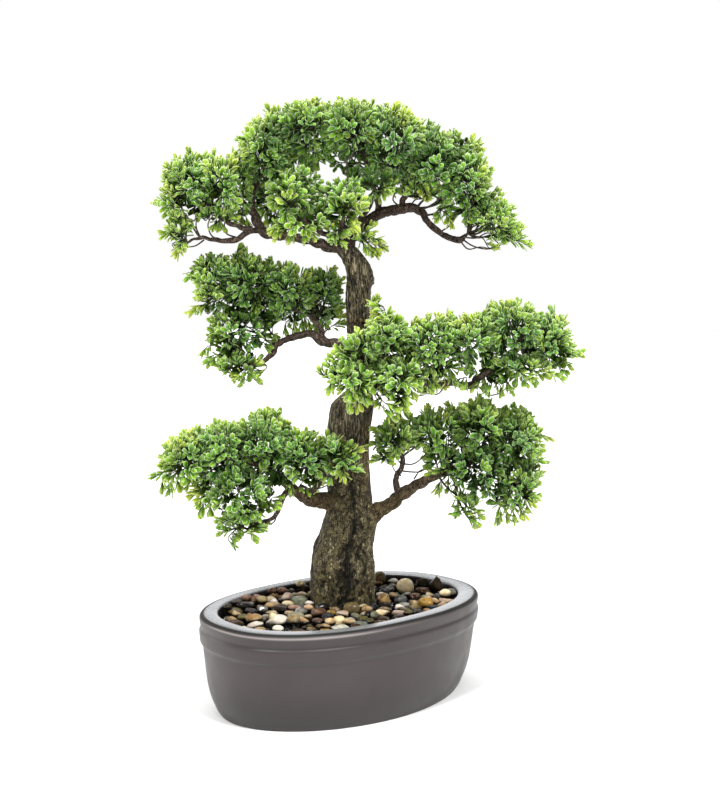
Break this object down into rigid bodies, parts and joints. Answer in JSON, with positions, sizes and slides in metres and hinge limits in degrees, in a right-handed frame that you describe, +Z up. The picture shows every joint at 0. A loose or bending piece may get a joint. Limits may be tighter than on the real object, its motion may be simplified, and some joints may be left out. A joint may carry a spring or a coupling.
{
  "type": "ficus bonsai",
  "caption": "Table-top ficus bonsai: a ridged trunk with layered pads of small leaves on thin branches, set among loose pebbles in a dark oval pot.",
  "frame": {"origin": "centre of the pot's underside, on the surface that it stands on", "axes": "+Z up the trunk; X along the pot's long side; the tree's front looks towards -X and -Y, 41.5 degrees round from -Y"},
  "size_m": [0.252, 0.2285, 0.4235],
  "materials": {
    "pot_clay": "satin",
    "filler_foam": "matte",
    "pebble_stone": "gloss",
    "trunk_bark": "matte",
    "branch_bark": "matte",
    "leaf_green": "satin"
  },
  "bodies": {
    "root": {"pot": "pot_clay", "filler_block": "filler_foam", "pebble_bed": "pebble_stone", "pebble_01": "pebble_stone", "pebble_02": "pebble_stone", "pebble_03": "pebble_stone", "pebble_04": "pebble_stone", "pebble_05": "pebble_stone", "pebble_06": "pebble_stone", "pebble_07": "pebble_stone", "pebble_08": "pebble_stone", "pebble_09": "pebble_stone", "pebble_10": "pebble_stone", "trunk": "trunk_bark", "branch_low_left": "branch_bark", "branch_low_right": "branch_bark", "branch_mid_left": "branch_bark", "branch_mid_front": "branch_bark", "branch_mid_right": "branch_bark", "branch_crown_left": "branch_bark", "branch_crown_right": "branch_bark", "branch_crown_front": "branch_bark", "branch_crown_back": "branch_bark", "leaves_crown_left_outer": "leaf_green", "leaves_crown_left_inner": "leaf_green", "leaves_crown_top_left": "leaf_green", "leaves_crown_top_front": "leaf_green", "leaves_crown_top_middle": "leaf_green", "leaves_crown_top_right": "leaf_green", "leaves_crown_shoulder": "leaf_green", "leaves_crown_right_outer": "leaf_green", "leaves_crown_under": "leaf_green", "leaves_crown_front_left": "leaf_green", "leaves_crown_front_right": "leaf_green", "leaves_crown_low_spray": "leaf_green", "leaves_crown_back_left": "leaf_green", "leaves_crown_back_right": "leaf_green", "leaves_mid_left_outer": "leaf_green", "leaves_mid_left_top": "leaf_green", "leaves_mid_left_inner": "leaf_green", "leaves_mid_left_low": "leaf_green", "leaves_mid_left_tip": "leaf_green", "leaves_mid_front_top": "leaf_green", "leaves_mid_front_low": "leaf_green", "leaves_mid_right_inner": "leaf_green", "leaves_mid_right_middle": "leaf_green", "leaves_mid_right_top": "leaf_green", "leaves_mid_right_outer": "leaf_green", "leaves_mid_right_low": "leaf_green", "leaves_low_left_outer": "leaf_green", "leaves_low_left_top": "leaf_green", "leaves_low_left_middle": "leaf_green", "leaves_low_left_inner": "leaf_green", "leaves_low_left_front": "leaf_green", "leaves_low_left_tip": "leaf_green", "leaves_low_right_inner": "leaf_green", "leaves_low_right_top": "leaf_green", "leaves_low_right_outer": "leaf_green", "leaves_low_right_front": "leaf_green", "leaves_low_right_tip": "leaf_green"}
  },
  "joints": []
}
